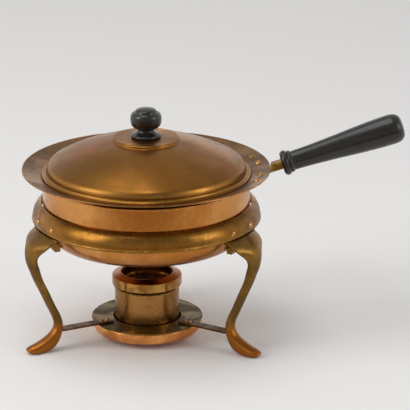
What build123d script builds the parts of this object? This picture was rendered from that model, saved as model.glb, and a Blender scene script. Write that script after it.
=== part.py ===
from build123d import *
import os
from math import asin, cos, degrees, radians, sin, sqrt, tan

# Copper and brass chafing dish on a three-legged stand, with a spirit burner.
# Millimetres. Every piece is drawn about the dish's own upright axis, with the
# floor at z = 0 and the pan handle along +X, and is moved to the part's frame at the end.

# Sheet metal
pan_gauge = 1.2
water_gauge = 1.1
lid_gauge = 1.1
ring_gauge = 1.3
tray_gauge = 1.1
cup_gauge = 1.0

# Clearances
seat_gap = 0.3          # between curved faces of pieces that lift apart
fit_gap = 0.05          # between pieces fixed to each other
drop_gap = 0.9          # radial play of the water pan in the stand's ring

# Stand ring
ring_lip_z = 143.0
ring_height = 21.0
ring_lip_r = 131.8
ring_bead_r = 1.6
ring_crease_rise = 3.8  # from the lip's edge up to the widest point of the band

# Water pan
water_r = 119.0
water_floor_z = 115.0
water_corner_r = 28.0
water_depth = 75.0      # from its underside to the middle of its rolled rim
water_bead_r = 1.3

# Food pan
pan_wall_r = 116.0
pan_flange_r = 142.5
pan_flange_slope = 16.0
pan_bend_r = 10.6       # of the upper face, where the wall turns into the flange
pan_depth = 61.0        # from the flange's inner edge down to the underside
pan_corner_r = 22.0

# Lid
lid_r = 120.0
lid_wall_r = 114.3
lid_flare_r = 3.0
lid_wall_rise = 0.6
lid_shoulder_r = 10.5
lid_shoulder_turn = 60.0
lid_dome_rise = 25.4    # from the top of the shoulder to the foot of the boss
lid_crown = 3.1         # of the dome over a straight cone
lid_boss_r = 38.5
lid_boss_height = 3.6
lid_boss_nose_r = 1.8
lid_boss_fillet_r = 1.2
groove_radii = (35.0, 30.2)
groove_r = 0.5

# Knob and its screw
knob_base_r = 17.3
knob_base_h = 4.2
knob_neck_r = 9.3
knob_neck_z = 9.0
knob_ball_r = 17.9
knob_ball_z = 21.5
knob_ball_top = 29.6
knob_cap_r = 12.4
knob_height = 34.4
screw_r = 2.4
screw_head_r = 5.2
screw_head_h = 2.6
screw_grip = 18.0
washer_r = 9.0
washer_h = 1.6
slot_width = 1.2
slot_depth = 1.1

# Pan handle
handle_tilt = 17.6
grip_start_r = 156.0
grip_start_rise = 1.8   # of the grip's front end above the flange's edge
grip_length = 145.0
grip_bead_r = 14.6
grip_bead_length = 8.5
grip_ring_r = 12.9
grip_ring_length = 3.4
grip_front_r = 11.1
grip_end_r = 17.3
grip_end_round = 14.0
tang_side = 9.4
tang_socket = 6.0
tang_root_r = 127.0
rim_clearance = 0.6
stud_r = 3.0
stud_in_tang = 8.0
stud_in_grip = 62.0
bracket_inner_r = 125.4
bracket_outer_r = 138.4
bracket_thickness = 2.4
bracket_half_angle = 24.5
bracket_rivet_r = 131.2
bracket_rivet_angles = (-20.0, -9.7, 9.7, 20.0)

# Rivets of the handle bracket and of the legs
rivet_r = 1.9
rivet_head_r = 3.9
rivet_head_h = 1.7
rivet_tail_r = 3.1
rivet_tail_h = 1.1
rivet_tail_lift = 0.5   # of a flat tail over the hollow side of a curved sheet

# Legs
leg_angles = {"leg_left": -155.0, "leg_right": -35.0, "leg_back": 85.0}
leg_half_angle = 13.5
leg_plate_thickness = 3.0
leg_plate_rise = 14.0   # behind the ring, above its lip
leg_tongue_drop = 3.0   # below the ring's lip, into the casting
leg_rivet_angle = 8.0
leg_rivet_rise = 7.8    # above the ring's lip
leg_shadow_gap = 0.25   # between the ring's lip and the casting's shoulder
lug_width = 9.0
lug_inner_r = 111.5
lug_foot_z = 119.5
lug_back_z = 134.0
lug_toe_r = 118.0
sole_z = 0.0

# Burner holder
plate_r = 64.4
plate_hole_r = 39.7
plate_top_z = 22.4
plate_gauge = 1.6
tray_r = 63.4
tray_floor_z = 6.0
tray_corner_r = 9.0
tray_turn_r = 1.8
tray_flange_r = 48.0
strut_width = 11.0
strut_thickness = 2.5
strut_inner_r = 46.0
strut_shoulder_r = 110.2
tenon_width = 7.0
tenon_length = 5.0
strut_rivet_radii = (51.5, 58.4)
strut_rivet_r = 1.3
strut_rivet_head_r = 2.5
strut_rivet_head_h = 1.2
strut_rivet_tail_h = 0.8
strut_pin_r = 1.2
strut_pin_below = 10.0
strut_pin_above = 2.6

# Burner
cup_r = 37.3
cup_top_z = 68.0
cup_corner_r = 3.0
cup_bead_z = 58.8
cup_bead_r = 0.9
collar_r = 40.3
collar_foot_r = 38.7
collar_foot_rise = 3.0
collar_height = 13.8
collar_gauge = 1.0
collar_nose_r = 1.6
collar_mouth_r = 30.1
collar_mouth_rise = 2.9
collar_neck_depth = 8.6
gauze_z = 60.0
gauze_r = 27.0
gauze_gauge = 0.8
gauze_hole_r = 1.15
gauze_hole_pitch = 5.0
gauze_hole_rings = 4
holder_lip_r = 24.6
holder_flange_r = 27.6
holder_height = 6.0
holder_gauge = 1.0
wick_top_gap = 0.5

pieces = []


def domed_rivet(head_r, head_h, shank_r, grip, tail_r, tail_h):
    """A rivet along Z: its head stands on z = 0 and its tail is formed under -grip."""
    with BuildPart() as rivet:
        with BuildSketch(Plane.XZ):
            with BuildLine():
                Line((0, -grip - tail_h), (0, head_h))
                ThreePointArc((0, head_h), (0.72 * head_r, 0.6 * head_h), (head_r, 0))
                Polyline(
                    (head_r, 0),
                    (shank_r, 0),
                    (shank_r, -grip),
                    (tail_r, -grip),
                    (0.8 * tail_r, -grip - tail_h),
                    (0, -grip - tail_h),
                )
            make_face()
        revolve(axis=Axis.Z)
    return rivet.part


def radial_plane(angle):
    """Upright plane through the dish's axis: its x runs outwards, its y upwards."""
    return Plane(
        origin=(0, 0, 0),
        x_dir=(cos(radians(angle)), sin(radians(angle)), 0),
        z_dir=(sin(radians(angle)), -cos(radians(angle)), 0),
    )


def outward_plane(angle, radius, height, tilt):
    """Plane that faces outwards at an angle round the dish, tilted up from the horizontal."""
    flat = cos(radians(tilt))
    return Plane(
        origin=(radius * cos(radians(angle)), radius * sin(radians(angle)), height),
        x_dir=(-sin(radians(angle)), cos(radians(angle)), 0),
        z_dir=(flat * cos(radians(angle)), flat * sin(radians(angle)), sin(radians(tilt))),
    )


# Heights that follow from the sizes above, from the stand up to the lid
ring_top_z = ring_lip_z + ring_height
ring_top_r = water_r + drop_gap + ring_gauge
crease_z = ring_lip_z + ring_crease_rise
band_r = ring_lip_r - 0.5 * ring_bead_r
band_run = band_r - ring_top_r
band_climb = ring_top_z - crease_z
band_arc_r = (band_run**2 + band_climb**2) / (2 * band_run)
band_arc_center = band_r - band_arc_r
water_bead_z = water_floor_z + water_depth
water_bead_center = water_r - water_gauge / 2
bend_center = pan_wall_r - pan_gauge + pan_bend_r
bend_reach = pan_bend_r - pan_gauge - water_bead_r - seat_gap
bend_z = water_bead_z - sqrt(bend_reach**2 - (bend_center - water_bead_center) ** 2)
flange_start_r = bend_center - pan_bend_r * sin(radians(pan_flange_slope))
flange_start_z = bend_z + pan_bend_r * cos(radians(pan_flange_slope))
flange_edge_z = flange_start_z + (pan_flange_r - flange_start_r) * tan(radians(pan_flange_slope))
pan_floor_z = flange_start_z - pan_depth
lid_edge_z = bend_z + sqrt((pan_bend_r + seat_gap) ** 2 - (bend_center - lid_r) ** 2) + lid_gauge

# Water pan: a copper pan whose rolled rim carries the food pan
with BuildPart() as water_pan:
    with BuildSketch(Plane.XZ):
        with BuildLine():
            floor = Line((0, water_floor_z), (water_r - water_corner_r, water_floor_z))
            corner = JernArc(floor @ 1, (1, 0), water_corner_r, 90)
            Line(corner @ 1, (water_r, water_bead_z))
            offset(amount=water_gauge, side=Side.LEFT)
        make_face()
        with Locations((water_bead_center, water_bead_z)):
            Circle(water_bead_r)
    revolve(axis=Axis.Z)
water_pan.part.label = "water_pan"
pieces.append(water_pan)

# Food pan: its wall turns out over the water pan's rim into a wide rising flange
with BuildPart() as food_pan:
    with BuildSketch(Plane.XZ):
        with BuildLine():
            floor = Line((0, pan_floor_z), (pan_wall_r - pan_corner_r, pan_floor_z))
            corner = JernArc(floor @ 1, (1, 0), pan_corner_r, 90)
            wall = Line(corner @ 1, (pan_wall_r, bend_z))
            bend = JernArc(wall @ 1, (0, 1), pan_bend_r - pan_gauge, pan_flange_slope - 90)
            flange_run = pan_flange_r - (bend @ 1).X
            Line(bend @ 1, (pan_flange_r, (bend @ 1).Y + flange_run * tan(radians(pan_flange_slope))))
            offset(amount=pan_gauge, side=Side.LEFT)
        make_face()
    revolve(axis=Axis.Z)
    flange_normal = Plane(
        origin=(bracket_rivet_r, 0, flange_start_z + (bracket_rivet_r - flange_start_r)
                * tan(radians(pan_flange_slope))),
        x_dir=(0, 1, 0),
        z_dir=(-sin(radians(pan_flange_slope)), 0, cos(radians(pan_flange_slope))),
    )
    bracket_rivet_places = [
        Location((0, 0, 0), (0, 0, angle)) * flange_normal.location for angle in bracket_rivet_angles
    ]
    with Locations(*bracket_rivet_places):
        Cylinder(rivet_r + fit_gap, 4 * pan_gauge, mode=Mode.SUBTRACT)
food_pan.part.label = "food_pan"
pieces.append(food_pan)

# Handle bracket: a curved brass plate under the flange with a square tang that steps
# up past the rim and runs into the grip
grip_start_z = flange_edge_z + grip_start_rise
tilt = radians(handle_tilt)
grip_axis = Plane(origin=(grip_start_r, 0, grip_start_z), x_dir=(0, 1, 0), z_dir=(cos(tilt), 0, sin(tilt)))
slope = radians(pan_flange_slope)


def under_flange(radius):
    """Height of the bracket's upper face, just under the flange."""
    rise = (radius - flange_start_r) * tan(slope)
    return flange_start_z + rise - (pan_gauge + fit_gap) / cos(slope)


with BuildPart() as handle_bracket:
    tang_back = (grip_start_r - tang_root_r) / cos(tilt)
    with BuildSketch(grip_axis.offset(-tang_back)):
        Rectangle(tang_side, tang_side)
    extrude(amount=tang_back + tang_socket)
    # the notch that lets the flange's edge in over the tang
    notch_r = pan_flange_r + rim_clearance
    notch_top_z = flange_edge_z + 2 * tang_side
    with BuildSketch(Plane.XZ):
        with BuildLine():
            Polyline(
                (tang_root_r - tang_side, under_flange(tang_root_r - tang_side) - fit_gap),
                (notch_r, under_flange(notch_r) - fit_gap),
                (notch_r, notch_top_z),
                (tang_root_r - tang_side, notch_top_z),
                close=True,
            )
        make_face()
    revolve(axis=Axis.Z, mode=Mode.SUBTRACT)
    with BuildSketch(radial_plane(-bracket_half_angle)):
        with BuildLine():
            drop_r = bracket_thickness * sin(slope)
            drop_z = bracket_thickness * cos(slope)
            Polyline(
                (bracket_inner_r, under_flange(bracket_inner_r)),
                (bracket_outer_r, under_flange(bracket_outer_r)),
                (bracket_outer_r + drop_r, under_flange(bracket_outer_r) - drop_z),
                (bracket_inner_r + drop_r, under_flange(bracket_inner_r) - drop_z),
                close=True,
            )
        make_face()
    revolve(axis=Axis.Z, revolution_arc=2 * bracket_half_angle)
    with Locations(*bracket_rivet_places):
        Cylinder(rivet_r + fit_gap, 6 * bracket_thickness, mode=Mode.SUBTRACT)
    with BuildSketch(grip_axis.offset(tang_socket)):
        Circle(stud_r + fit_gap)
    extrude(amount=-(stud_in_tang + fit_gap), mode=Mode.SUBTRACT)
handle_bracket.part.label = "handle_bracket"
pieces.append(handle_bracket)

bracket_rivet = domed_rivet(
    rivet_head_r,
    rivet_head_h,
    rivet_r,
    pan_gauge + fit_gap + bracket_thickness + fit_gap,
    rivet_tail_r,
    rivet_tail_h,
)
with BuildPart() as handle_rivets:
    with Locations(*[place * Location((0, 0, fit_gap)) for place in bracket_rivet_places]):
        add(bracket_rivet)
handle_rivets.part.label = "handle_rivets"
pieces.append(handle_rivets)

# Handle stud: a steel stud from the tang into the grip
with BuildPart() as handle_stud:
    with BuildSketch(grip_axis.offset(tang_socket - stud_in_tang)):
        Circle(stud_r)
    extrude(amount=stud_in_tang + stud_in_grip)
    chamfer(handle_stud.faces().sort_by(Axis.X)[-1].edges(), 0.3 * stud_r)
handle_stud.part.label = "handle_stud"
pieces.append(handle_stud)

# Handle grip: turned black wood, a bead and a thin ring in front, swelling to a round end
with BuildPart() as handle_grip:
    with BuildSketch(Plane.XZ):
        with BuildLine():
            bead_end = grip_bead_length
            ring_end = grip_bead_length + grip_ring_length
            round_start = grip_length - grip_end_round
            front = Line((0, 0), (0.8 * grip_bead_r, 0))
            bead = ThreePointArc(front @ 1, (grip_bead_r, 0.5 * bead_end), (0.84 * grip_bead_r, bead_end))
            Line(bead @ 1, (0.94 * grip_ring_r, bead_end))
            ring = ThreePointArc(
                (0.94 * grip_ring_r, bead_end),
                (grip_ring_r, 0.5 * (bead_end + ring_end)),
                (0.93 * grip_ring_r, ring_end),
            )
            Line(ring @ 1, (grip_front_r, ring_end + 0.3 * grip_ring_length))
            body = Spline(
                (grip_front_r, ring_end + 0.3 * grip_ring_length),
                (0.5 * (grip_front_r + grip_end_r) + 0.3, 0.52 * grip_length),
                (grip_end_r, round_start),
                tangents=[(0.02, 1), (0.0, 1)],
            )
            end = Spline(
                body @ 1,
                (0.78 * grip_end_r, grip_length - 0.2 * grip_end_round),
                (0, grip_length),
                tangents=[(0, 1), (-1, 0)],
            )
            Line(end @ 1, (0, 0))
        make_face()
    revolve(axis=Axis.Z)
    Box(
        tang_side + 2 * fit_gap,
        tang_side + 2 * fit_gap,
        tang_socket + fit_gap,
        align=(Align.CENTER, Align.CENTER, Align.MIN),
        mode=Mode.SUBTRACT,
    )
    Cylinder(
        stud_r + fit_gap,
        tang_socket + stud_in_grip + fit_gap,
        align=(Align.CENTER, Align.CENTER, Align.MIN),
        mode=Mode.SUBTRACT,
    )
handle_grip.part = grip_axis.location * handle_grip.part
handle_grip.part.label = "handle_grip"
pieces.append(handle_grip)

# Lid: one spun copper sheet, from its flared edge up over the dome to a flat boss
with BuildPart() as lid:
    with BuildSketch(Plane.XZ):
        with BuildLine():
            edge = Line((lid_r, lid_edge_z), (lid_wall_r + lid_flare_r, lid_edge_z))
            flare = JernArc(edge @ 1, (-1, 0), lid_flare_r, -90)
            wall = Line(flare @ 1, ((flare @ 1).X, (flare @ 1).Y + lid_wall_rise))
            shoulder = JernArc(wall @ 1, (0, 1), lid_shoulder_r, lid_shoulder_turn)
            dome_top = Vector(
                lid_boss_r + lid_boss_fillet_r,
                (shoulder @ 1).Y + lid_dome_rise,
            )
            dome_middle = (shoulder @ 1 + dome_top) * 0.5 + Vector(0, lid_crown)
            dome = ThreePointArc(shoulder @ 1, dome_middle, dome_top)
            climb = degrees(asin((dome % 1).Y))
            foot = JernArc(dome @ 1, dome % 1, lid_boss_fillet_r, climb - 90)
            boss_top_z = dome_top.Y + lid_boss_height
            side = Line(foot @ 1, ((foot @ 1).X, boss_top_z - lid_boss_nose_r))
            nose = JernArc(side @ 1, (0, 1), lid_boss_nose_r, 90)
            Line(nose @ 1, (screw_r + fit_gap, boss_top_z))
            offset(amount=lid_gauge, side=Side.LEFT)
        make_face()
        with Locations(*[(radius, boss_top_z) for radius in groove_radii]):
            Circle(groove_r, mode=Mode.SUBTRACT)
    revolve(axis=Axis.Z)
lid.part.label = "lid"
pieces.append(lid)

# Knob: turned black wood on the boss
knob_z = boss_top_z + fit_gap
with BuildPart() as knob:
    with BuildSketch(Plane(origin=(0, 0, knob_z), x_dir=(1, 0, 0), z_dir=(0, -1, 0))):
        with BuildLine():
            foot = Line((0, 0), (0.93 * knob_base_r, 0))
            rim = ThreePointArc(foot @ 1, (knob_base_r, 0.45 * knob_base_h), (0.86 * knob_base_r, knob_base_h))
            lower = Spline(
                rim @ 1,
                (knob_neck_r, knob_neck_z),
                (knob_ball_r, knob_ball_z),
                tangents=[(-1, 0.25), (0, 1)],
            )
            upper = Spline(lower @ 1, (1.03 * knob_cap_r, knob_ball_top), tangents=[(0, 1), (-1, 0.12)])
            step = Line(upper @ 1, (knob_cap_r, knob_ball_top + 0.6))
            cap = Spline(
                step @ 1,
                (0.62 * knob_cap_r, knob_height - 0.9),
                (0, knob_height),
                tangents=[(-0.2, 1), (-1, 0)],
            )
            Line(cap @ 1, (0, 0))
        make_face()
    revolve(axis=Axis.Z)
    with Locations((0, 0, knob_z)):
        Cylinder(
            screw_r + fit_gap,
            screw_grip + fit_gap,
            align=(Align.CENTER, Align.CENTER, Align.MIN),
            mode=Mode.SUBTRACT,
        )
knob.part.label = "knob"
pieces.append(knob)

# Knob washer and screw, inside the lid
washer_top_z = boss_top_z - lid_gauge - fit_gap
with BuildPart() as knob_washer:
    with BuildSketch(Plane.XY.offset(washer_top_z)):
        Circle(washer_r)
        Circle(screw_r + fit_gap, mode=Mode.SUBTRACT)
    extrude(amount=-washer_h)
    chamfer(knob_washer.faces().sort_by(Axis.Z)[0].outer_wire().edges(), 0.25 * washer_h)
knob_washer.part.label = "knob_washer"
pieces.append(knob_washer)

screw_seat_z = washer_top_z - washer_h - fit_gap
with BuildPart() as knob_screw:
    with BuildSketch(Plane.XY.offset(screw_seat_z)):
        Circle(screw_head_r)
    extrude(amount=-screw_head_h)
    fillet(knob_screw.faces().sort_by(Axis.Z)[0].edges(), 0.6 * screw_head_h)
    with BuildSketch(Plane.XY.offset(screw_seat_z)):
        Circle(screw_r)
    extrude(amount=knob_z + screw_grip - screw_seat_z)
    with Locations((0, 0, screw_seat_z - screw_head_h)):
        Box(3 * screw_head_r, slot_width, 2 * slot_depth, mode=Mode.SUBTRACT)
knob_screw.part.label = "knob_screw"
pieces.append(knob_screw)

# Stand ring: a bulging brass band with a beaded lip, riveted to the legs
rivet_turn = degrees(asin((ring_lip_z + leg_rivet_rise - crease_z) / band_arc_r))
rivet_seat_r = band_arc_center + band_arc_r * cos(radians(rivet_turn))
leg_rivet_planes = {
    name: [
        outward_plane(angle + side * leg_rivet_angle, rivet_seat_r, ring_lip_z + leg_rivet_rise, rivet_turn)
        for side in (-1, 1)
    ]
    for name, angle in leg_angles.items()
}
all_leg_rivet_planes = [plane for planes in leg_rivet_planes.values() for plane in planes]

with BuildPart() as stand_ring:
    with BuildSketch(Plane.XZ):
        with BuildLine():
            band = RadiusArc((band_r, crease_z), (ring_top_r, ring_top_z), -band_arc_r)
            Line((band_r, ring_lip_z + ring_bead_r), (band_r, crease_z))
            offset(amount=ring_gauge, side=Side.LEFT)
        make_face()
        with Locations((ring_lip_r - ring_bead_r, ring_lip_z + ring_bead_r)):
            Circle(ring_bead_r)
    revolve(axis=Axis.Z)
    with Locations(*all_leg_rivet_planes):
        Cylinder(rivet_r + fit_gap, 6 * ring_gauge, mode=Mode.SUBTRACT)
stand_ring.part.label = "stand_ring"
pieces.append(stand_ring)

# Legs: hollow-backed brass castings, lofted through sections square to their path.
# Each section has the outer face's radius and height, the path's dip in degrees, the
# width, the bulge of the outer face, the flat edge, the full depth and the corner radius.
leg_sections = (
    (131.4, ring_lip_z - leg_shadow_gap, 90.0, 61.0, 3.5, 3.6, 4.8, 0.9),
    (140.2, 139.4, 55.0, 55.0, 4.8, 3.0, 4.0, 0.9),
    (147.0, 133.4, 54.0, 45.5, 6.2, 2.8, 4.4, 0.9),
    (151.4, 125.8, 70.0, 33.0, 6.8, 3.2, 6.4, 1.1),
    (152.6, 116.5, 90.0, 23.5, 5.8, 4.2, 9.0, 1.6),
    (150.2, 105.5, 106.0, 17.4, 4.2, 5.4, 10.4, 2.2),
    (145.2, 92.5, 112.0, 14.6, 3.2, 5.4, 9.8, 2.4),
    (138.0, 76.5, 114.5, 13.4, 3.0, 5.2, 9.0, 2.4),
    (130.4, 60.0, 114.5, 12.9, 3.0, 5.0, 8.8, 2.4),
    (123.4, 45.0, 113.0, 12.7, 3.0, 5.0, 8.8, 2.4),
    (119.4, 34.0, 100.0, 12.7, 3.0, 5.2, 9.2, 2.4),
    (120.4, 26.4, 68.0, 13.2, 3.0, 6.0, 11.0, 2.6),
    (125.6, 20.2, 42.0, 14.2, 3.0, 8.6, 15.0, 3.0),
    (133.4, 15.2, 28.0, 15.2, 3.0, 9.2, 16.0, 3.2),
    (140.8, 11.8, 20.0, 15.6, 3.0, 7.6, 13.2, 3.2),
    (147.4, 9.6, 16.0, 14.8, 2.8, 6.0, 10.4, 2.8),
    (151.8, 7.8, 16.0, 11.6, 2.0, 4.2, 7.0, 2.0),
    (154.0, 5.9, 20.0, 6.4, 1.0, 2.0, 3.2, 0.9),
)
plate_arc_r = band_arc_r - ring_gauge - fit_gap
plate_clear_r = ring_lip_r - 2 * ring_bead_r - fit_gap
plate_top_turn = degrees(asin((ring_lip_z + leg_plate_rise - crease_z) / plate_arc_r))

with BuildPart() as leg_pattern:
    for radius, height, dip, width, bulge, edge, depth, corner in leg_sections:
        half = width / 2
        section_plane = Plane(
            origin=(radius, 0, height),
            x_dir=(0, 1, 0),
            z_dir=(cos(radians(dip)), 0, -sin(radians(dip))),
        )
        with BuildSketch(section_plane) as section:
            with BuildLine():
                ThreePointArc((-half, -bulge), (0, 0), (half, -bulge))
                Line((half, -bulge), (half, -bulge - edge))
                ThreePointArc((half, -bulge - edge), (0, -depth), (-half, -bulge - edge))
                Line((-half, -bulge - edge), (-half, -bulge))
            make_face()
            fillet(section.vertices(), corner)
    loft()
    split(bisect_by=Plane.XY.offset(sole_z), keep=Keep.TOP)
    # the plate behind the ring, with a tongue down into the casting
    with BuildSketch(radial_plane(-leg_half_angle)):
        with BuildLine():
            face = CenterArc((band_arc_center, crease_z), plate_arc_r, 0, plate_top_turn)
            back = CenterArc(
                (band_arc_center, crease_z), plate_arc_r - leg_plate_thickness, 0, plate_top_turn
            )
            Line(face @ 0, back @ 0)
            Line(face @ 1, back @ 1)
        make_face()
        tongue_back_r = band_arc_center + plate_arc_r - leg_plate_thickness
        tongue_foot_z = ring_lip_z - leg_tongue_drop
        with Locations(((tongue_back_r + plate_clear_r) / 2, (tongue_foot_z + crease_z) / 2 + fit_gap)):
            Rectangle(plate_clear_r - tongue_back_r, crease_z - tongue_foot_z + 2 * fit_gap)
    revolve(axis=Axis.Z, revolution_arc=2 * leg_half_angle)
    # the lug that carries the water pan's rounded corner
    with BuildSketch(Plane.XZ):
        with BuildLine():
            Polyline(
                (plate_clear_r - fit_gap, ring_lip_z),
                (plate_clear_r - fit_gap, lug_back_z),
                (lug_toe_r, lug_foot_z),
                (lug_inner_r, lug_foot_z),
                (lug_inner_r, ring_lip_z),
                close=True,
            )
        make_face()
    extrude(amount=lug_width / 2, both=True)
    with BuildSketch(Plane.XZ):
        with BuildLine():
            clear_r = water_r + seat_gap
            clear_floor = water_floor_z - seat_gap
            floor = Line((0, clear_floor), (water_r - water_corner_r, clear_floor))
            corner = JernArc(floor @ 1, (1, 0), water_corner_r + seat_gap, 90)
            Polyline(corner @ 1, (clear_r, ring_top_z), (0, ring_top_z), (0, clear_floor))
        make_face()
    revolve(axis=Axis.Z, mode=Mode.SUBTRACT)
    with Locations(*[outward_plane(side * leg_rivet_angle, rivet_seat_r, ring_lip_z + leg_rivet_rise,
                                   rivet_turn) for side in (-1, 1)]):
        Cylinder(rivet_r + fit_gap, 6 * leg_plate_thickness, mode=Mode.SUBTRACT)
    # the pocket for the strut's tenon, and the hole for its pin
    with Locations((strut_shoulder_r + tenon_length / 2, 0, plate_top_z + fit_gap + strut_thickness / 2)):
        Box(
            tenon_length + 2 * fit_gap,
            tenon_width + 2 * fit_gap,
            strut_thickness + 2 * fit_gap,
            mode=Mode.SUBTRACT,
        )
    pin_r = strut_shoulder_r + tenon_length / 2
    pin_top_z = plate_top_z + strut_thickness + strut_pin_above
    with BuildSketch(Plane.XY.offset(pin_top_z)):
        with Locations((pin_r, 0)):
            Circle(strut_pin_r + fit_gap)
    extrude(amount=-pin_top_z, mode=Mode.SUBTRACT)
    # the back face is cut straight where the strut's shoulder meets it
    with Locations((strut_shoulder_r + fit_gap, 0, plate_top_z)):
        Box(
            3 * tenon_length,
            2 * strut_width,
            3 * strut_thickness,
            align=(Align.MAX, Align.CENTER, Align.CENTER),
            mode=Mode.SUBTRACT,
        )

for name, angle in leg_angles.items():
    with BuildPart() as leg:
        add(leg_pattern.part, rotation=(0, 0, angle))
    leg.part.label = name
    pieces.append(leg)

leg_rivet_grip = ring_gauge + fit_gap + leg_plate_thickness + rivet_tail_lift
leg_rivet = domed_rivet(rivet_head_r, rivet_head_h, rivet_r, leg_rivet_grip, rivet_tail_r, rivet_tail_h)
with BuildPart() as leg_rivets:
    with Locations(*[plane.offset(fit_gap) for plane in all_leg_rivet_planes]):
        add(leg_rivet)
leg_rivets.part.label = "leg_rivets"
pieces.append(leg_rivets)

# Burner plate: a flat brass ring that the struts are riveted to
strut_rivet_points = [
    (radius * cos(radians(angle)), radius * sin(radians(angle)))
    for angle in leg_angles.values()
    for radius in strut_rivet_radii
]
with BuildPart() as burner_plate:
    with BuildSketch(Plane.XY.offset(plate_top_z)):
        Circle(plate_r)
        Circle(plate_hole_r, mode=Mode.SUBTRACT)
        with Locations(*strut_rivet_points):
            Circle(strut_rivet_r + fit_gap, mode=Mode.SUBTRACT)
    extrude(amount=-plate_gauge)
    fillet(burner_plate.faces().sort_by(Axis.Z)[-1].outer_wire().edges(), 0.4 * plate_gauge)
burner_plate.part.label = "burner_plate"
pieces.append(burner_plate)

# Burner tray: a copper cup under the plate, its rim turned in
tray_top_z = plate_top_z - plate_gauge - fit_gap
with BuildPart() as burner_tray:
    with BuildSketch(Plane.XZ):
        with BuildLine():
            floor = Line((0, tray_floor_z), (tray_r - tray_corner_r, tray_floor_z))
            corner = JernArc(floor @ 1, (1, 0), tray_corner_r, 90)
            wall = Line(corner @ 1, (tray_r, tray_top_z - tray_turn_r))
            turn = JernArc(wall @ 1, (0, 1), tray_turn_r, 90)
            Line(turn @ 1, (tray_flange_r, tray_top_z))
            offset(amount=tray_gauge, side=Side.LEFT)
        make_face()
    revolve(axis=Axis.Z)
    with BuildSketch(Plane.XY.offset(tray_top_z)):
        with Locations(*strut_rivet_points):
            Circle(strut_rivet_r + fit_gap)
    extrude(amount=-tray_gauge, mode=Mode.SUBTRACT)
burner_tray.part.label = "burner_tray"
pieces.append(burner_tray)

# Struts: flat brass bars from the plate into the legs
strut_z = plate_top_z + fit_gap
for name, angle in leg_angles.items():
    with BuildPart() as strut:
        with BuildSketch(Plane.XY.offset(strut_z).rotated((0, 0, angle))):
            with Locations(((strut_inner_r + strut_shoulder_r) / 2, 0)):
                Rectangle(strut_shoulder_r - strut_inner_r, strut_width)
            with Locations((strut_shoulder_r, 0)):
                Rectangle(2 * tenon_length, tenon_width)
            with Locations(*[(radius, 0) for radius in strut_rivet_radii]):
                Circle(strut_rivet_r + fit_gap, mode=Mode.SUBTRACT)
            with Locations((pin_r, 0)):
                Circle(strut_pin_r + fit_gap, mode=Mode.SUBTRACT)
        extrude(amount=strut_thickness)
    strut.part.label = name.replace("leg", "strut")
    pieces.append(strut)

strut_rivet = domed_rivet(
    strut_rivet_head_r,
    strut_rivet_head_h,
    strut_rivet_r,
    strut_thickness + plate_gauge + tray_gauge + 4 * fit_gap,
    strut_rivet_head_r,
    strut_rivet_tail_h,
)
with BuildPart() as strut_rivets:
    with Locations(*[(x, y, strut_z + strut_thickness + fit_gap) for x, y in strut_rivet_points]):
        add(strut_rivet)
strut_rivets.part.label = "strut_rivets"
pieces.append(strut_rivets)

with BuildPart() as strut_pins:
    pin_foot_z = plate_top_z - strut_pin_below
    with BuildSketch(Plane.XY.offset(pin_foot_z)):
        with Locations(*[(pin_r * cos(radians(a)), pin_r * sin(radians(a))) for a in leg_angles.values()]):
            Circle(strut_pin_r)
    extrude(amount=pin_top_z - fit_gap - pin_foot_z)
strut_pins.part.label = "strut_pins"
pieces.append(strut_pins)

# Burner cup: holds the spirit and stands on the tray through the plate's hole
cup_floor_z = tray_floor_z + tray_gauge + fit_gap
with BuildPart() as burner_cup:
    with BuildSketch(Plane.XZ):
        with BuildLine():
            floor = Line((0, cup_floor_z), (cup_r - cup_corner_r, cup_floor_z))
            corner = JernArc(floor @ 1, (1, 0), cup_corner_r, 90)
            Line(corner @ 1, (cup_r, cup_top_z))
            offset(amount=cup_gauge, side=Side.LEFT)
        make_face()
        with Locations((cup_r - 0.2 * cup_bead_r, cup_bead_z)):
            Circle(cup_bead_r)
    revolve(axis=Axis.Z)
    cup_bore = cup_r - cup_gauge
    with BuildSketch(Plane.XY.offset(cup_bead_z - 2 * cup_bead_r)):
        Circle(cup_bore)
    extrude(amount=4 * cup_bead_r, mode=Mode.SUBTRACT)
burner_cup.part.label = "burner_cup"
pieces.append(burner_cup)

# Burner collar: a spun cap ring that lifts off the cup
collar_foot_z = cup_bead_z + cup_bead_r + seat_gap
collar_top_z = collar_foot_z + collar_height
with BuildPart() as burner_collar:
    with BuildSketch(Plane.XZ):
        with BuildLine():
            foot = Line((collar_foot_r, collar_foot_z), (collar_r, collar_foot_z + collar_foot_rise))
            side = Line(foot @ 1, (collar_r, collar_top_z - collar_nose_r))
            nose = JernArc(side @ 1, (0, 1), collar_nose_r, 74)
            mouth = Line(nose @ 1, (collar_mouth_r + collar_gauge, collar_top_z + collar_mouth_rise))
            lip = JernArc(mouth @ 1, mouth % 1, collar_gauge, 90 - degrees(asin((mouth % 1).Y)) * -1)
            Line(lip @ 1, ((lip @ 1).X, collar_top_z - collar_neck_depth))
            offset(amount=collar_gauge, side=Side.LEFT)
        make_face()
    revolve(axis=Axis.Z)
burner_collar.part.label = "burner_collar"
pieces.append(burner_collar)

# Gauze holder: a stepped brass ring in the cup's mouth
holder_r = cup_bore - fit_gap
with BuildPart() as gauze_holder:
    with BuildSketch(Plane.XZ):
        with BuildLine():
            low = gauze_z - holder_gauge - fit_gap
            high = low + holder_height
            Polyline(
                (holder_lip_r, low),
                (holder_flange_r + holder_gauge, low),
                (holder_flange_r + holder_gauge, high - holder_gauge),
                (holder_r, high - holder_gauge),
                (holder_r, high),
                (holder_flange_r, high),
                (holder_flange_r, low + holder_gauge),
                (holder_lip_r, low + holder_gauge),
                close=True,
            )
        make_face()
    revolve(axis=Axis.Z)
gauze_holder.part.label = "gauze_holder"
pieces.append(gauze_holder)

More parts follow.
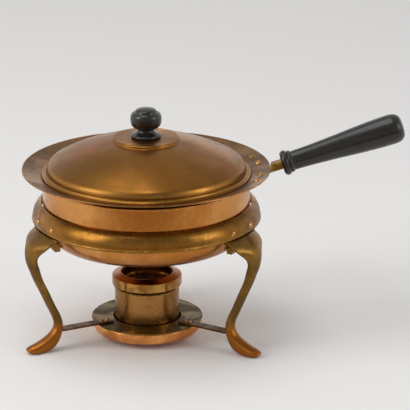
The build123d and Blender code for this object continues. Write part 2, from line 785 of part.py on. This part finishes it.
# Gauze: a perforated disc over the wadding
with BuildPart() as burner_gauze:
    with BuildSketch(Plane.XY.offset(gauze_z)):
        Circle(gauze_r)
        Circle(gauze_hole_r, mode=Mode.SUBTRACT)
        for ring_number in range(1, gauze_hole_rings + 1):
            with PolarLocations(ring_number * gauze_hole_pitch, 6 * ring_number):
                Circle(gauze_hole_r, mode=Mode.SUBTRACT)
    extrude(amount=gauze_gauge)
burner_gauze.part.label = "burner_gauze"
pieces.append(burner_gauze)

# Wadding: the absorbent filling that holds the spirit
with BuildPart() as burner_wadding:
    wadding_floor_z = cup_floor_z + cup_gauge + fit_gap
    wadding_top_z = low - wick_top_gap
    with BuildSketch(Plane.XY.offset(wadding_floor_z)):
        Circle(cup_bore - seat_gap)
    extrude(amount=wadding_top_z - wadding_floor_z)
    fillet(burner_wadding.faces().sort_by(Axis.Z)[0].edges(), cup_corner_r)
burner_wadding.part.label = "burner_wadding"
pieces.append(burner_wadding)

for piece in (handle_bracket, leg_pattern):
    print(piece, [round(x.volume) for x in piece.part.solids()], piece.part.is_valid)

# The part's frame: the middle of the whole dish's box, at the floor
whole = Compound(children=[piece.part.moved(Location()) for piece in pieces])
box = whole.bounding_box()
home = Location((-box.center().X, -box.center().Y, -box.min.Z))
print("dish axis at", round(-box.center().X, 3), round(-box.center().Y, 3), "size", box.size)

os.makedirs("parts", exist_ok=True)
for piece in pieces:
    placed = home * piece.part
    placed.label = piece.part.label
    export_step(placed, f"parts/{placed.label}.step")
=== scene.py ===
# %% [markdown]
# # A copper and brass chafing dish
# The dish is already built at its true size: a lid, a food pan and a water pan of copper,
# a brass stand on three legs and a spirit burner. This lesson dresses it. It sets a camera
# and a small photographer's table, and then gives every metal and the black wood its finish.

# %% Load the model
import math
import random

import bmesh
import bpy
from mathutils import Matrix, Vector


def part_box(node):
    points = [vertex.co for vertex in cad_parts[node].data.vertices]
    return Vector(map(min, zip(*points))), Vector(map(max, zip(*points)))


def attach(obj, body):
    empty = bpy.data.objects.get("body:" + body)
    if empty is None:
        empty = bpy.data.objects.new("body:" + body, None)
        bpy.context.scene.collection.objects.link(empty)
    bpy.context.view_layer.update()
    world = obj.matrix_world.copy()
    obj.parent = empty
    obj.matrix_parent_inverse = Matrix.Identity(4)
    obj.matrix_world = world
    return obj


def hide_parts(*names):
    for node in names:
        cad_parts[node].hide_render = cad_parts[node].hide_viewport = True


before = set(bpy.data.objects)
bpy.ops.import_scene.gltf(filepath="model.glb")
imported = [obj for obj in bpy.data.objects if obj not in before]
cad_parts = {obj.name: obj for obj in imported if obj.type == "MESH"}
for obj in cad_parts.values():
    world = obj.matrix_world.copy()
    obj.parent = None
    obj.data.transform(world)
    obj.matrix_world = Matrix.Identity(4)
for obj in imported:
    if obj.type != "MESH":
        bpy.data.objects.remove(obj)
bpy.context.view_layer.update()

# %% [markdown]
# ## Where the dish stands
# The origin is the middle of the whole dish, handle included, so the dish's own upright axis
# is off to one side. The water pan is round and plain, so the middle of its box is that axis.
# Everything that is turned or spun takes its centre from there.

# %% The upright axis and a few heights
pan_low, pan_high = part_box("water_pan")
AXIS = Vector(((pan_low[0] + pan_high[0]) / 2, (pan_low[1] + pan_high[1]) / 2, 0))
lid_low, lid_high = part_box("lid")
LID_EDGE_Z = lid_low[2]
LID_TOP_Z = lid_high[2]
print("axis", AXIS, "lid from", LID_EDGE_Z, "to", LID_TOP_Z)

# %% [markdown]
# ## The camera
# The photograph looks down at about eighteen degrees with a long lens, which keeps the round
# rims almost the same shape from top to bottom. So the camera stands far back. Its aim is
# worked out in millimetres per pixel at the dish's axis, not found by trial.

# %% Camera
IMAGE_SIDE = 410
METRES_PER_PIXEL = 0.00115
AXIS_COLUMN = 146.5
FLOOR_ROW = 334.2
ELEVATION = math.radians(18.5)
YAW = math.radians(-2.6)
DISTANCE = 3.4

right = Vector((math.cos(YAW), math.sin(YAW), 0))
away = Vector((-math.sin(YAW), math.cos(YAW), 0))
aim = AXIS + right * (IMAGE_SIDE / 2 - AXIS_COLUMN) * METRES_PER_PIXEL
aim.z = (FLOOR_ROW - IMAGE_SIDE / 2) * METRES_PER_PIXEL / math.cos(ELEVATION)
view_line = away * math.cos(ELEVATION) - Vector((0, 0, math.sin(ELEVATION)))

camera_data = bpy.data.cameras.new("camera")
camera_data.sensor_width = 36
camera_data.lens = camera_data.sensor_width * DISTANCE / (IMAGE_SIDE * METRES_PER_PIXEL)
camera = bpy.data.objects.new("camera", camera_data)
camera.location = aim - view_line * DISTANCE
camera.rotation_euler = view_line.to_track_quat("-Z", "Y").to_euler()
bpy.context.scene.collection.objects.link(camera)
bpy.context.scene.camera = camera
bpy.context.scene.view_settings.view_transform = "Standard"
print("lens", round(camera_data.lens), "mm, camera at", camera.location)

# %% [markdown]
# ## The table and the light
# Metal shows what is round it more than its own colour. The photograph was taken on a white
# table that ends a short way in front of the dish: the dark beyond its edge is the soft brown
# oval on the copper wall. So the table here ends there too. It is one flat sheet, and it
# carries the soft shadows.

# %% Table
TABLE_FRONT = 0.52
TABLE_BACK = 4.5
TABLE_SIDE = 3.2


def link(piece_name, mesh):
    piece = bpy.data.objects.new(piece_name, mesh)
    bpy.context.scene.collection.objects.link(piece)
    return piece


def table_mesh():
    shape = bmesh.new()
    front = [(-TABLE_SIDE, -TABLE_FRONT), (TABLE_SIDE, -TABLE_FRONT)]
    back = [(TABLE_SIDE, TABLE_BACK), (-TABLE_SIDE, TABLE_BACK)]
    shape.faces.new([shape.verts.new(AXIS + right * x + away * y) for x, y in front + back])
    mesh = bpy.data.meshes.new("table")
    shape.to_mesh(mesh)
    shape.free()
    return mesh


table = link("table", table_mesh())
print("table", 2 * TABLE_SIDE, "by", TABLE_FRONT + TABLE_BACK, "metres")

# %% [markdown]
# Three big soft lamps stand round the table: a strong one at the front left, a weaker one at
# the front right and one overhead. The world between them is a grey room, lighter towards the
# backdrop, over a brown wooden floor. That floor is what the copper shows at its front.

# %% Lamps
PAN_HEIGHT = 0.15


def softbox(lamp_name, place, size, power):
    """A lamp at so many metres right, away and up from the dish, aimed at its pan."""
    data = bpy.data.lights.new(lamp_name, "AREA")
    data.shape = "RECTANGLE"
    data.size, data.size_y = size
    data.energy = power
    lamp = bpy.data.objects.new(lamp_name, data)
    lamp.location = AXIS + right * place[0] + away * place[1] + Vector((0, 0, place[2]))
    aim_line = AXIS + Vector((0, 0, PAN_HEIGHT)) - lamp.location
    lamp.rotation_euler = aim_line.to_track_quat("-Z", "Y").to_euler()
    bpy.context.scene.collection.objects.link(lamp)


softbox("left_softbox", (-2.1, -0.95, 1.6), (1.3, 1.7), 28)
softbox("right_softbox", (2.2, -0.95, 1.3), (0.9, 1.4), 12)
softbox("top_softbox", (-0.6, -0.15, 3.3), (2.6, 1.4), 29)
print("lamps", [lamp.name for lamp in bpy.data.lights])

# %% [markdown]
# The room is one node tree: the direction's height and its reach towards the backdrop each
# set a grey, the two are multiplied, and below the horizon the floor's brown takes over. Only
# reflections show it, since the table fills the picture.

# %% Room
WALL_TINT = (1.0, 0.99, 0.975)
WOODEN_FLOOR = (0.36, 0.22, 0.05)
world = bpy.data.worlds.new("room")
bpy.context.scene.world = world
world.use_nodes = True
room = world.node_tree
room.nodes.clear()


def add(tree, kind, inputs=None, **settings):
    """A node with its settings and inputs; an input is a value, or a socket to link."""
    node = tree.nodes.new(kind)
    for key, value in settings.items():
        setattr(node, key, value)
    for key, value in (inputs or {}).items():
        if isinstance(value, bpy.types.NodeSocket):
            tree.links.new(value, node.inputs[key])
        else:
            node.inputs[key].default_value = value
    return node


def ramp(tree, value, low, high, to_low=0.0, to_high=1.0):
    """Value mapped smoothly from low..high to to_low..to_high; each may be a number or a socket."""
    limits = {"Value": value, "From Min": low, "From Max": high, "To Min": to_low, "To Max": to_high}
    return add(tree, "ShaderNodeMapRange", limits, interpolation_type="SMOOTHSTEP").outputs["Result"]


def math_of(tree, operation, first, second):
    return add(tree, "ShaderNodeMath", {0: first, 1: second}, operation=operation).outputs["Value"]


def product(tree, first, second):
    return math_of(tree, "MULTIPLY", first, second)


direction = add(room, "ShaderNodeTexCoord").outputs["Generated"]
parts_of = add(room, "ShaderNodeSeparateXYZ", {"Vector": direction})
height_grey = ramp(room, parts_of.outputs["Z"], -0.05, 0.9, 1.05, 0.46)
front_grey = ramp(room, parts_of.outputs["Y"], -0.9, 0.3, 0.5, 1.0)
grey = product(room, height_grey, front_grey)
walls = add(room, "ShaderNodeVectorMath", {0: WALL_TINT, "Scale": grey}, operation="SCALE").outputs["Vector"]
above_floor = ramp(room, parts_of.outputs["Z"], -0.14, 0.01)
room_colour = add(room, "ShaderNodeMix", {0: above_floor, 4: WOODEN_FLOOR, 5: walls}, data_type="VECTOR")
background = add(room, "ShaderNodeBackground", {"Color": room_colour.outputs[1]})
add(room, "ShaderNodeOutputWorld", {"Surface": background.outputs["Background"]})
print("room of", len(room.nodes), "nodes")

# %% [markdown]
# ## Shared effects
# Old copper and brass change in the same few ways: clouds of tarnish, rings left by the
# spinning lathe, bright worn edges, small casting pits and fine rubbing marks. Each is a node
# group, made once, which puts out a mask or a height. The materials place them with their
# own numbers. All work in the object's own metres, so nothing slides when a piece moves.

# %% A helper for node groups


def group(group_name, inputs):
    """An empty node group with float inputs by name and default, and one float output."""
    tree = bpy.data.node_groups.new(group_name, "ShaderNodeTree")
    for socket_name, value in inputs.items():
        socket = tree.interface.new_socket(socket_name, in_out="INPUT", socket_type="NodeSocketFloat")
        socket.default_value = value
    tree.interface.new_socket("Value", in_out="OUTPUT", socket_type="NodeSocketFloat")
    return tree, add(tree, "NodeGroupInput").outputs, add(tree, "NodeGroupOutput").inputs


def object_place(tree):
    return add(tree, "ShaderNodeTexCoord").outputs["Object"]


def noise(tree, **inputs):
    return add(tree, "ShaderNodeTexNoise", inputs).outputs["Fac"]


# %% [markdown]
# Tarnish grows in clouds. One noise with many octaves gives large soft patches that hold
# smaller stains. Low and High set where a patch starts and where it is full, and Seed moves
# the whole pattern, so that the large pieces don't share their stains.

# %% Tarnish clouds
tree, given, result = group("tarnish_clouds", {"Scale": 14.0, "Low": 0.4, "High": 0.6, "Seed": 0.0})
shift = add(tree, "ShaderNodeCombineXYZ", {axis: given["Seed"] for axis in "XYZ"}).outputs["Vector"]
moved = add(tree, "ShaderNodeVectorMath", {0: object_place(tree), 1: shift}, operation="ADD")
place = moved.outputs["Vector"]
clouds = noise(tree, Vector=place, Scale=given["Scale"], Detail=7.0, Roughness=0.62, Distortion=0.5)
tree.links.new(ramp(tree, clouds, given["Low"], given["High"]), result["Value"])
tarnish_clouds = tree
print("group", tarnish_clouds.name)

# %% [markdown]
# Spun sheet keeps very fine rings round its axis. The noise is read at the distance from the
# axis and the height, both stretched by Fineness, and hardly at all round the circle, so each
# line runs almost unbroken round the piece.

# %% Lathe rings
tree, given, result = group("lathe_rings", {"Fineness": 900.0, "Break": 1.5})
from_axis = add(tree, "ShaderNodeVectorMath", {0: object_place(tree), 1: AXIS}, operation="SUBTRACT")
axes = add(tree, "ShaderNodeSeparateXYZ", {"Vector": from_axis.outputs["Vector"]})
flat = add(tree, "ShaderNodeCombineXYZ", {"X": axes.outputs["X"], "Y": axes.outputs["Y"]})
radius = add(tree, "ShaderNodeVectorMath", {0: flat.outputs["Vector"]}, operation="LENGTH").outputs["Value"]
turn = math_of(tree, "ARCTAN2", axes.outputs["Y"], axes.outputs["X"])
lathe_place = add(
    tree,
    "ShaderNodeCombineXYZ",
    {
        "X": product(tree, radius, given["Fineness"]),
        "Y": product(tree, axes.outputs["Z"], given["Fineness"]),
        "Z": product(tree, turn, given["Break"]),
    },
)
tree.links.new(noise(tree, Vector=lathe_place.outputs["Vector"], Scale=1.0, Detail=2.0), result["Value"])
lathe_rings = tree
print("group", lathe_rings.name)

# %% [markdown]
# Edges wear bright because hands and cloths touch them first. The Bevel node gives the normal
# that a rounded edge would have. Where it differs from the true normal there is an edge, and
# noise breaks the worn line up.

# %% Edge wear
tree, given, result = group("edge_wear", {"Width": 0.0012, "Amount": 1.0})
rounded = add(tree, "ShaderNodeBevel", {"Radius": given["Width"]}, samples=6)
true_normal = add(tree, "ShaderNodeNewGeometry").outputs["Normal"]
normals = {0: rounded.outputs["Normal"], 1: true_normal}
agree = add(tree, "ShaderNodeVectorMath", normals, operation="DOT_PRODUCT").outputs["Value"]
edge = ramp(tree, agree, 0.995, 0.86)
chips = noise(tree, Vector=object_place(tree), Scale=160.0, Detail=4.0)
broken = ramp(tree, chips, 0.3, 0.6, 0.35, 1.0)
tree.links.new(product(tree, product(tree, edge, broken), given["Amount"]), result["Value"])
edge_wear = tree
print("group", edge_wear.name)

# %% [markdown]
# Pits are the small round holes of a casting or of old corrosion. Voronoi cells give round
# spots, and a cloud of noise keeps them in patches. Rubbing marks are noise drawn out along
# one direction, which is how a polishing cloth leaves them.

# %% Pits and rubbing marks
tree, given, result = group("pits", {"Scale": 700.0, "Size": 0.28, "Low": 0.45, "High": 0.6})
cells = add(tree, "ShaderNodeTexVoronoi", {"Vector": object_place(tree), "Scale": given["Scale"]})
spots = ramp(tree, cells.outputs["Distance"], 0.0, given["Size"], 1.0, 0.0)
patches = noise(tree, Vector=object_place(tree), Scale=38.0, Detail=5.0)
tree.links.new(product(tree, spots, ramp(tree, patches, given["Low"], given["High"])), result["Value"])
pits = tree

tree, given, result = group("rubbing", {"Fineness": 420.0, "Lean": 0.6})
turned = add(tree, "ShaderNodeVectorRotate", {"Vector": object_place(tree), "Angle": given["Lean"]})
stretch = {0: turned.outputs["Vector"], 1: (1.0, 0.05, 0.35)}
drawn = add(tree, "ShaderNodeVectorMath", stretch, operation="MULTIPLY").outputs["Vector"]
marks = noise(tree, Vector=drawn, Scale=given["Fineness"], Detail=4.0, Roughness=0.7)
tree.links.new(marks, result["Value"])
rubbing = tree
print("groups", [made.name for made in bpy.data.node_groups])

# %% [markdown]
# ## The metals
# Every metal here is built the same way. A clean colour and a tarnished colour are mixed by
# the clouds, the worn edges lighten it, and tarnish is rougher than clean metal. The surface
# height adds lathe rings, pits and rubbing marks. A material may then lay further patches of
# another colour over this, such as the red bloom on the lid.

# %% Helpers for materials


def linear(red, green, blue):
    """A colour read as 0 to 255 on a screen, as the linear values that a shader takes."""
    steps = [channel / 255 for channel in (red, green, blue)]
    return tuple((s / 12.92 if s <= 0.04045 else ((s + 0.055) / 1.055) ** 2.4) for s in steps) + (1.0,)


def effect(tree, node_group, **inputs):
    return add(tree, "ShaderNodeGroup", inputs, node_tree=node_group).outputs["Value"]


def blend(tree, mask, under, over):
    """Over is laid on under where mask is 1; each may be a colour or a socket."""
    return add(tree, "ShaderNodeMix", {0: mask, 6: under, 7: over}, data_type="RGBA").outputs[2]


def bumped(tree, shader, height, strength, depth):
    bump = add(tree, "ShaderNodeBump", {"Strength": strength, "Distance": depth, "Height": height})
    tree.links.new(bump.outputs["Normal"], shader.inputs["Normal"])


print("screen grey 128 is", round(linear(128, 128, 128)[0], 3), "in linear light")

# %% [markdown]
# The maker's numbers are those that all the metals share: how strong the small stains are,
# how far the rubbing marks change the roughness, how dark a pit is beside its tarnish, and how
# strong and deep, in metres, the relief is.

# %% Metals
SMALL_STAINS = 0.3
MARKS_IN_ROUGHNESS = 0.16
PIT_COVER = 0.6
PIT_SHADE = 0.45
RELIEF_STRENGTH = 0.3
METAL_RELIEF = 0.0002


def metal(
    metal_name,
    clean,
    tarnished,
    bright,
    roughness=(0.24, 0.42),
    clouds=(14.0, 0.42, 0.62),
    seed=0.0,
    rings=0.0,
    pitting=(0.0, 700.0),
    rub=0.06,
    wear=(0.0012, 0.8),
    patches=(),
):
    """A tarnished metal, in screen colours.

    Roughness is (clean, tarnished), clouds (scale, low, high), pitting (depth, scale) and wear
    (width, amount). Patches are (colour, strength, mask function of the tree).
    """
    material = bpy.data.materials.new(metal_name)
    material.use_nodes = True
    tree = material.node_tree
    shader = tree.nodes["Principled BSDF"]
    shader.inputs["Metallic"].default_value = 1.0
    tarnish = effect(tree, tarnish_clouds, Scale=clouds[0], Low=clouds[1], High=clouds[2], Seed=seed)
    fine = effect(tree, tarnish_clouds, Scale=clouds[0] * 7, Low=0.35, High=0.7, Seed=seed + 3.1)
    colour = blend(tree, tarnish, linear(*clean), linear(*tarnished))
    colour = blend(tree, product(tree, fine, SMALL_STAINS), colour, linear(*tarnished))
    for patch_colour, strength, mask_of in patches:
        colour = blend(tree, product(tree, mask_of(tree), strength), colour, linear(*patch_colour))
    worn = effect(tree, edge_wear, Width=wear[0], Amount=wear[1])
    colour = blend(tree, worn, colour, linear(*bright))
    spots = effect(tree, pits, Scale=pitting[1], Low=0.42, High=0.6)
    if pitting[0]:
        pit_colour = linear(*[channel * PIT_SHADE for channel in tarnished])
        colour = blend(tree, product(tree, spots, PIT_COVER), colour, pit_colour)
    tree.links.new(colour, shader.inputs["Base Color"])
    marks = effect(tree, rubbing)
    rough = ramp(tree, tarnish, 0.0, 1.0, roughness[0], roughness[1])
    streaks = product(tree, math_of(tree, "SUBTRACT", marks, 0.5), MARKS_IN_ROUGHNESS)
    tree.links.new(math_of(tree, "ADD", rough, streaks), shader.inputs["Roughness"])
    height = math_of(tree, "ADD", product(tree, marks, rub), product(tree, effect(tree, lathe_rings), rings))
    height = math_of(tree, "SUBTRACT", height, product(tree, spots, pitting[0]))
    bumped(tree, shader, height, RELIEF_STRENGTH, METAL_RELIEF)
    return material


def dress(material, *nodes):
    """Puts a material on CAD nodes by their slots; their meshes stay as they are."""
    for node in nodes:
        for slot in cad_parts[node].material_slots:
            slot.link = "OBJECT"
            slot.material = material
    print(material.name, "on", ", ".join(nodes))


# %% [markdown]
# Some patches belong to one place on a piece, such as the painted sheen round the shoulder of the
# lid, and others lie anywhere. A patch therefore brings its own mask: a band between two heights, or a
# cloud.

# %% Patch masks


def band(low, high, fade):
    """A mask that is 1 between two heights in metres and fades out over fade."""

    def mask(tree):
        z = add(tree, "ShaderNodeSeparateXYZ", {"Vector": object_place(tree)}).outputs["Z"]
        return product(tree, ramp(tree, z, low - fade, low), ramp(tree, z, high + fade, high))

    return mask


def cloud(scale, low, high, seed):
    def mask(tree):
        return effect(tree, tarnish_clouds, Scale=scale, Low=low, High=high, Seed=seed)

    return mask


# %% [markdown]
# ## Lid
# One spun sheet of copper. Age has made it brown, with a red bloom where the lacquer went. The
# paler golden band round the shoulder is painted sheen: mostly the light the shoulder catches, over a slight
# golden tone of its own.

# %% Lid copper
# Heights of the painted sheen round the lid's shoulder.
SHOULDER_SHEEN = (LID_EDGE_Z, LID_EDGE_Z + 0.009)
lid_copper = metal(
    "lid_copper",
    clean=(162, 108, 48),
    tarnished=(128, 86, 34),
    bright=(204, 150, 92),
    roughness=(0.27, 0.4),
    clouds=(9.0, 0.36, 0.66),
    seed=1.7,
    rings=0.5,
    wear=(0.0012, 0.7),
    patches=(
        ((158, 76, 34), 0.6, cloud(11.0, 0.5, 0.68, 5.2)),
        # Painted sheen: the golden shoulder band is mostly the light its flare catches, over a slight golden
        # tone of its own.
        ((162, 116, 54), 0.7, band(SHOULDER_SHEEN[0], SHOULDER_SHEEN[1], 0.004)),
        ((92, 60, 30), 0.45, cloud(26.0, 0.58, 0.72, 9.4)),
    ),
)
dress(lid_copper, "lid")

# %% [markdown]
# ## Food pan and water pan
# The food pan's flange is the darkest copper: heat and handling have turned it brown. The
# water pan below was polished more and is still pink, with faint brown clouds. The brown oval
# at its front isn't painted on: it is the room's floor, seen past the table's edge.

# %% Pan coppers
pan_copper = metal(
    "food_pan_copper",
    clean=(152, 112, 70),
    tarnished=(112, 80, 48),
    bright=(206, 140, 84),
    roughness=(0.3, 0.44),
    clouds=(16.0, 0.38, 0.62),
    seed=4.4,
    rings=0.5,
    wear=(0.0014, 0.9),
    patches=(((96, 66, 42), 0.5, cloud(30.0, 0.5, 0.7, 2.2)),),
)
dress(pan_copper, "food_pan")

water_copper = metal(
    "water_pan_copper",
    clean=(206, 146, 84),
    tarnished=(180, 116, 50),
    bright=(228, 172, 122),
    roughness=(0.2, 0.32),
    clouds=(12.0, 0.4, 0.66),
    seed=7.9,
    rings=0.4,
    rub=0.03,
    wear=(0.0012, 0.9),
    patches=(((160, 96, 40), 0.45, cloud(20.0, 0.52, 0.7, 3.3)),),
)
dress(water_copper, "water_pan")

# %% [markdown]
# ## Stand
# The ring is pressed brass, golden brown, and pitted in patches like orange skin. The legs
# are sand castings. They are dull golden brown on the shank and turn coppery at the foot,
# where the lacquer has worn off.

# %% Stand brasses
ring_brass = metal(
    "ring_brass",
    clean=(160, 112, 48),
    tarnished=(122, 82, 32),
    bright=(222, 176, 98),
    roughness=(0.26, 0.4),
    clouds=(15.0, 0.4, 0.62),
    seed=2.6,
    rings=0.3,
    pitting=(1.2, 520.0),
    wear=(0.0012, 1.0),
    patches=(((98, 64, 28), 0.4, cloud(34.0, 0.52, 0.68, 6.6)),),
)
dress(ring_brass, "stand_ring")

FOOT_TOP = 0.026
leg_brass = metal(
    "leg_brass",
    clean=(140, 102, 50),
    tarnished=(108, 80, 38),
    bright=(206, 160, 84),
    roughness=(0.28, 0.44),
    clouds=(20.0, 0.38, 0.62),
    seed=8.3,
    pitting=(0.7, 460.0),
    rub=0.16,
    wear=(0.0012, 0.4),
    patches=(
        ((158, 94, 36), 0.85, band(-0.01, FOOT_TOP, 0.012)),
        ((96, 66, 30), 0.4, cloud(48.0, 0.54, 0.68, 1.1)),
    ),
)
dress(leg_brass, "leg_left", "leg_right", "leg_back")

rivet_brass = metal(
    "rivet_brass",
    clean=(206, 150, 78),
    tarnished=(150, 100, 50),
    bright=(250, 214, 140),
    roughness=(0.22, 0.34),
    clouds=(120.0, 0.4, 0.6),
    wear=(0.0009, 0.8),
)
dress(rivet_brass, "leg_rivets", "handle_rivets", "strut_rivets", "strut_pins")

# %% [markdown]
# ## Burner and its holder
# Heat has stained the flat holder plate dark olive and the struts nearly brown. The tray
# below is fresh orange copper. The collar has been rubbed bright in patches and is a redder
# brown on top, round its mouth.

# %% Burner metals
plate_brass = metal(
    "plate_brass",
    clean=(120, 96, 36),
    tarnished=(74, 58, 20),
    bright=(206, 166, 92),
    roughness=(0.3, 0.5),
    clouds=(34.0, 0.42, 0.6),
    seed=5.5,
    rings=0.3,
    patches=(((128, 88, 40), 0.6, cloud(60.0, 0.52, 0.66, 7.7)),),
)
dress(plate_brass, "burner_plate")

tray_copper = metal(
    "tray_copper",
    clean=(246, 178, 108),
    tarnished=(208, 132, 70),
    bright=(246, 188, 124),
    roughness=(0.22, 0.36),
    clouds=(26.0, 0.44, 0.66),
    seed=3.8,
    rings=0.5,
)
dress(tray_copper, "burner_tray")

strut_brass = metal(
    "strut_brass",
    clean=(104, 74, 44),
    tarnished=(74, 50, 30),
    bright=(168, 112, 62),
    roughness=(0.36, 0.5),
    clouds=(50.0, 0.4, 0.6),
)
dress(strut_brass, "strut_left", "strut_right", "strut_back")

cup_brass = metal(
    "cup_brass",
    clean=(166, 120, 66),
    tarnished=(132, 92, 48),
    bright=(236, 194, 116),
    roughness=(0.24, 0.38),
    clouds=(30.0, 0.4, 0.64),
    seed=6.1,
    rings=0.5,
    patches=(((120, 84, 44), 0.5, cloud(70.0, 0.55, 0.68, 4.9)),),
)
dress(cup_brass, "burner_cup", "gauze_holder")

COLLAR_BROWN = 0.0035
collar_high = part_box("burner_collar")[1]
collar_rim = (collar_high[2] - COLLAR_BROWN, collar_high[2])
collar_brass = metal(
    "collar_brass",
    clean=(178, 134, 70),
    tarnished=(138, 94, 42),
    bright=(244, 206, 124),
    roughness=(0.18, 0.34),
    clouds=(38.0, 0.42, 0.58),
    seed=9.2,
    rings=0.4,
    patches=(
        ((150, 88, 46), 0.8, band(*collar_rim, 0.0012)),
        ((140, 84, 40), 0.5, cloud(66.0, 0.52, 0.66, 2.9)),
    ),
)
dress(collar_brass, "burner_collar")

gauze_brass = metal(
    "gauze_brass",
    clean=(120, 92, 56),
    tarnished=(60, 44, 28),
    bright=(170, 130, 80),
    roughness=(0.4, 0.55),
    clouds=(90.0, 0.4, 0.6),
)
dress(gauze_brass, "burner_gauze")

bracket_brass = metal(
    "bracket_brass",
    clean=(176, 142, 66),
    tarnished=(120, 92, 40),
    bright=(236, 200, 110),
    roughness=(0.28, 0.42),
    clouds=(60.0, 0.4, 0.62),
    pitting=(0.5, 500.0),
    wear=(0.0014, 0.9),
)
dress(bracket_brass, "handle_bracket")

screw_steel = metal(
    "screw_steel",
    clean=(170, 170, 166),
    tarnished=(112, 108, 100),
    bright=(214, 214, 210),
    roughness=(0.28, 0.42),
    clouds=(80.0, 0.4, 0.6),
)
dress(screw_steel, "handle_stud", "knob_screw", "knob_washer")

# %% [markdown]
# ## Black wood
# The grip and the knob are turned wood, stained black and waxed. The stain hides most of the
# grain but not its relief, so the grain is in the bump and the gloss more than in the colour.
# A wave texture drawn out along the grip would look like planks; stretched noise looks turned.

# %% Black wood
WOOD_RELIEF = 0.0004


def black_wood(wood_name, grain_squeeze):
    """Waxed black wood; the squeeze is smallest along the piece, which draws the grain out."""
    material = bpy.data.materials.new(wood_name)
    material.use_nodes = True
    tree = material.node_tree
    shader = tree.nodes["Principled BSDF"]
    squeeze = {0: object_place(tree), 1: grain_squeeze}
    grain_place = add(tree, "ShaderNodeVectorMath", squeeze, operation="MULTIPLY").outputs["Vector"]
    grain = noise(tree, Vector=grain_place, Scale=420.0, Detail=6.0, Roughness=0.7)
    handling = effect(tree, tarnish_clouds, Scale=30.0, Low=0.45, High=0.7, Seed=1.0)
    colour = blend(tree, ramp(tree, grain, 0.35, 0.7), linear(20, 18, 16), linear(33, 30, 26))
    colour = blend(tree, product(tree, handling, 0.5), colour, linear(44, 40, 34))
    worn = effect(tree, edge_wear, Width=0.0015, Amount=0.5)
    colour = blend(tree, worn, colour, linear(78, 70, 58))
    tree.links.new(colour, shader.inputs["Base Color"])
    tree.links.new(ramp(tree, grain, 0.3, 0.7, 0.3, 0.44), shader.inputs["Roughness"])
    shader.inputs["Coat Weight"].default_value = 0.45
    shader.inputs["Specular IOR Level"].default_value = 0.3
    shader.inputs["Coat Roughness"].default_value = 0.12
    bumped(tree, shader, grain, RELIEF_STRENGTH, WOOD_RELIEF)
    return material


dress(black_wood("grip_wood", (0.08, 1.0, 0.6)), "handle_grip")
dress(black_wood("knob_wood", (1.0, 1.0, 0.12)), "knob")

# %% [markdown]
# ## Wadding
# Under the gauze the cup is packed with pale mineral wadding that soaks up the spirit. The
# CAD model has a plain disc there. This pad takes its place: the same disc, gathered to
# lumps on top by moving vertices with a few waves, a hair smaller so that it touches nothing.

# %% Wadding pad
RING_COUNT = 14
SPOKE_COUNT = 48
WALL_STEPS = 4
LUMP = 0.0009
WAVE_COUNT = 9
PAD_PLAY = 0.0004
FOOT_INSET = 0.003
random.seed(11)
waves = []
while len(waves) < WAVE_COUNT:
    waves.append((random.uniform(60, 260), random.uniform(0, math.tau), random.uniform(0, math.tau)))
wad_low, wad_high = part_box("burner_wadding")
wad_radius = (wad_high[0] - wad_low[0]) / 2 - PAD_PLAY


def lump(x, y):
    total = 0.0
    for rate, lean, phase in waves:
        total += math.sin(rate * (x * math.cos(lean) + y * math.sin(lean)) + phase)
    return total / len(waves) * LUMP


def wadding_mesh():
    shape = bmesh.new()
    low_z, high_z = wad_low[2] + PAD_PLAY, wad_high[2] - 2 * LUMP
    loops = [(wad_radius * step / RING_COUNT, high_z, True) for step in range(1, RING_COUNT + 1)]
    step_down = (low_z - high_z) / WALL_STEPS
    loops += [(wad_radius, high_z + step_down * step, False) for step in range(1, WALL_STEPS)]
    loops += [(wad_radius - FOOT_INSET, low_z, False)]
    top = shape.verts.new((AXIS.x, AXIS.y, high_z + lump(0, 0)))
    foot = shape.verts.new((AXIS.x, AXIS.y, low_z))
    circles = []
    for loop_radius, z, lumpy in loops:
        circle = []
        for spoke in range(SPOKE_COUNT):
            angle = math.tau * spoke / SPOKE_COUNT
            x, y = loop_radius * math.cos(angle), loop_radius * math.sin(angle)
            circle.append(shape.verts.new((AXIS.x + x, AXIS.y + y, z + (lump(x, y) if lumpy else 0))))
        circles.append(circle)
    for spoke in range(SPOKE_COUNT):
        after = (spoke + 1) % SPOKE_COUNT
        shape.faces.new((top, circles[0][spoke], circles[0][after]))
        for inner, outer in zip(circles, circles[1:]):
            shape.faces.new((inner[spoke], outer[spoke], outer[after], inner[after]))
        shape.faces.new((foot, circles[-1][after], circles[-1][spoke]))
    mesh = bpy.data.meshes.new("wadding_pad")
    shape.to_mesh(mesh)
    shape.free()
    mesh.shade_smooth()
    return mesh


def felt():
    material = bpy.data.materials.new("wadding_felt")
    material.use_nodes = True
    tree = material.node_tree
    shader = tree.nodes["Principled BSDF"]
    fibre = noise(tree, Vector=object_place(tree), Scale=900.0, Detail=8.0)
    colour = blend(tree, ramp(tree, fibre, 0.35, 0.65), linear(120, 108, 90), linear(196, 186, 168))
    tree.links.new(colour, shader.inputs["Base Color"])
    shader.inputs["Roughness"].default_value = 0.95
    bumped(tree, shader, fibre, 0.8, 0.0006)
    return material


pad = link("wadding_pad", wadding_mesh())
pad.data.materials.append(felt())
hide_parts("burner_wadding")
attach(pad, "burner")
print("wadding pad", len(pad.data.vertices), "points")

# %% [markdown]
# ## Table finish
# The table is matte white paper. It takes a faint uneven tone, as paper does, and no gloss.

# %% Table paper
paper = bpy.data.materials.new("table_paper")
paper.use_nodes = True
paper_tree = paper.node_tree
paper_shader = paper_tree.nodes["Principled BSDF"]
tone = noise(paper_tree, Vector=object_place(paper_tree), Scale=2.0, Detail=2.0)
paper_colour = blend(paper_tree, tone, linear(236, 235, 234), linear(240, 239, 238))
paper_tree.links.new(paper_colour, paper_shader.inputs["Base Color"])
paper_shader.inputs["Roughness"].default_value = 0.9
paper_shader.inputs["Specular IOR Level"].default_value = 0.1
table.data.materials.append(paper)
print(paper.name, "on", table.name)
